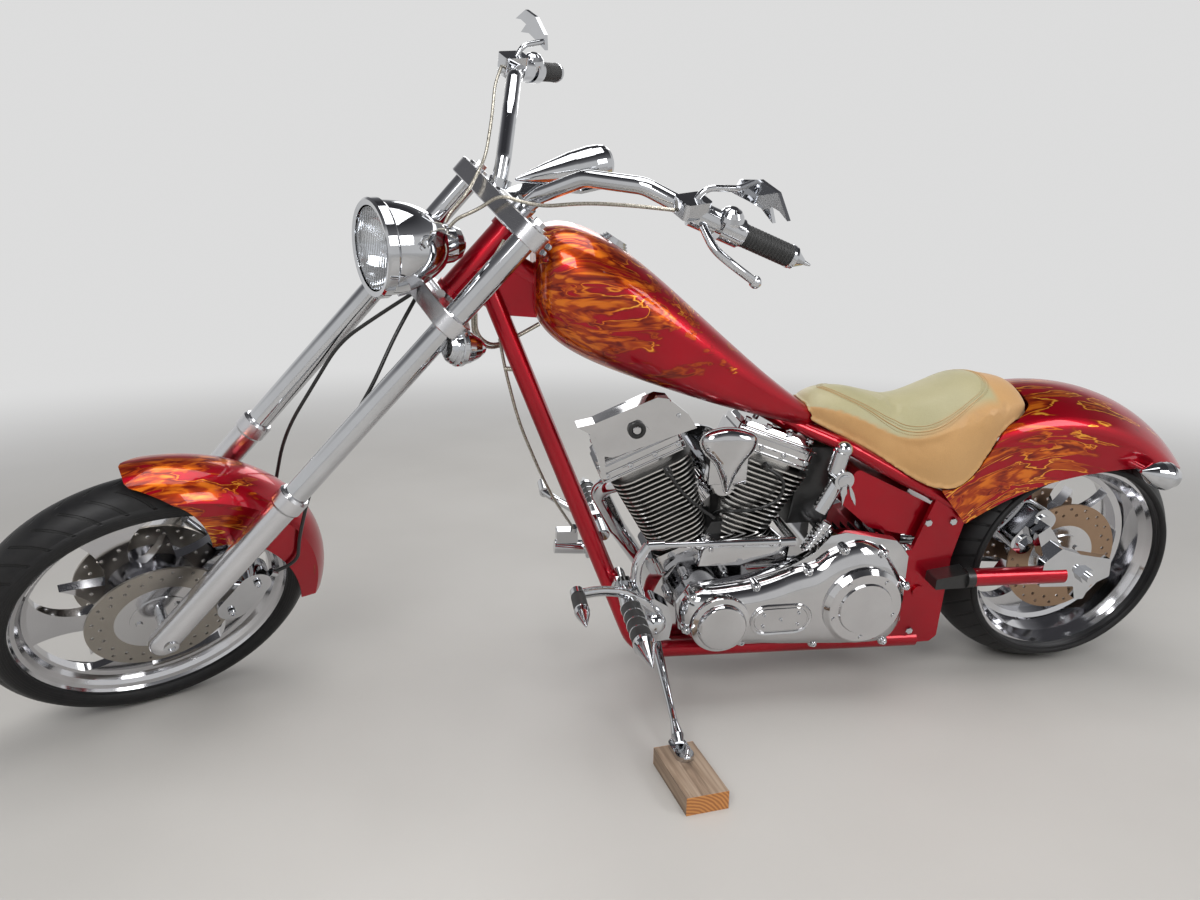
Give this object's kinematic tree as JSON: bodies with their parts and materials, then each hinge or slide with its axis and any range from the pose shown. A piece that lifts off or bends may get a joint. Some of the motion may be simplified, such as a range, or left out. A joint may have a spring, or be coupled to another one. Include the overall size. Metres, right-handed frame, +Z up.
{
  "type": "chopper motorcycle",
  "caption": "Long-fork chopper motorcycle leaning on its side stand on a wood block, handlebar turned to its left stop; wheels, steering and stand move.",
  "frame": {"origin": "on the floor under the middle of the parked motorcycle's bounding box", "axes": "+X forward, from the rear wheel to the front wheel; +Y to the rider's left, the side it leans to; +Z up"},
  "size_m": [2.8101, 1.0048, 1.5828],
  "materials": {
    "red_paint": "candy red metallic under clear coat, with orange and yellow flames",
    "chrome": "mirror-bright plating",
    "polished_aluminium": "polished",
    "engine_fins": "cast, fin edges machined bright",
    "tyre_rubber": "satin, light tread",
    "grip_rubber": "matte",
    "black_steel": "satin black",
    "brake_steel": "ground faces, drilled",
    "seat_leather": "tan, soft grain",
    "lens_glass": "clear",
    "block_wood": "weathered, sawn ends",
    "belt_rubber": "toothed belt",
    "hose_black": "smooth black hose",
    "cable_steel": "braided, clear coated"
  },
  "bodies": {
    "frame": {"frame": "red_paint", "fuel_tank": "red_paint", "fuel_cap": "chrome", "oil_tank": "red_paint", "seat": "seat_leather", "rear_fender": "red_paint", "rear_turn_signals": "chrome", "swingarm": "red_paint", "swingarm_clevises": "black_steel", "axle_plates": "chrome", "rear_axle": "chrome", "rear_caliper": "chrome", "crankcase": "chrome", "cylinder_front": "engine_fins", "cylinder_rear": "engine_fins", "rocker_box_front": "chrome", "rocker_box_rear": "chrome", "coil_cover": "chrome", "horn_cover": "chrome", "air_cleaner": "chrome", "exhaust_pipes": "chrome", "transmission": "chrome", "drive_belt": "belt_rubber", "primary_cover": "chrome", "derby_cover": "chrome", "ignition_switch": "chrome", "left_foot_control": "chrome", "right_foot_control": "chrome", "footpegs": "grip_rubber", "shift_linkage": "chrome", "pushrod_tubes": "chrome", "plug_leads": "hose_black", "frame_cables": "cable_steel", "wood_block": "block_wood"},
    "side_stand": {"side_stand": "chrome"},
    "fork": {"lower_tree": "polished_aluminium", "upper_tree": "polished_aluminium", "fork_tubes": "chrome", "fork_legs": "polished_aluminium", "front_axle": "chrome", "front_calipers": "chrome", "front_fender": "red_paint", "headlight_shell": "chrome", "headlight_lens": "lens_glass", "front_turn_signals": "chrome", "handlebar": "chrome", "grips": "grip_rubber", "hand_controls": "chrome", "mirrors": "chrome", "gauge": "chrome", "control_cables": "cable_steel", "brake_hoses": "hose_black"},
    "front_wheel": {"front_tyre": "tyre_rubber", "front_rim": "polished_aluminium", "front_discs": "brake_steel"},
    "rear_wheel": {"rear_tyre": "tyre_rubber", "rear_rim": "polished_aluminium", "rear_disc": "brake_steel", "rear_pulley": "polished_aluminium"}
  },
  "joints": [
    {"name": "steering", "type": "hinge", "parent": "frame", "child": "fork", "pos_m": [0.37136, 0.05737, 1.02643], "axis": [-0.6685, 0.1009, 0.7368], "range_deg": [-67, 0]},
    {"name": "rear_wheel_spin", "type": "hinge", "parent": "frame", "child": "rear_wheel", "pos_m": [-1.08909, -0.04016, 0.31446], "axis": [0, 0.9907, -0.1357], "continuous": true},
    {"name": "front_wheel_spin", "type": "hinge", "parent": "fork", "child": "front_wheel", "pos_m": [1.09141, -0.00724, 0.30425], "axis": [-0.4105, 0.7761, -0.4787], "continuous": true},
    {"name": "side_stand_fold", "type": "hinge", "parent": "frame", "child": "side_stand", "pos_m": [-0.02236, 0.06796, 0.16062], "axis": [-0.2011, 0.3761, 0.9045], "range_deg": [0, 74]}
  ]
}
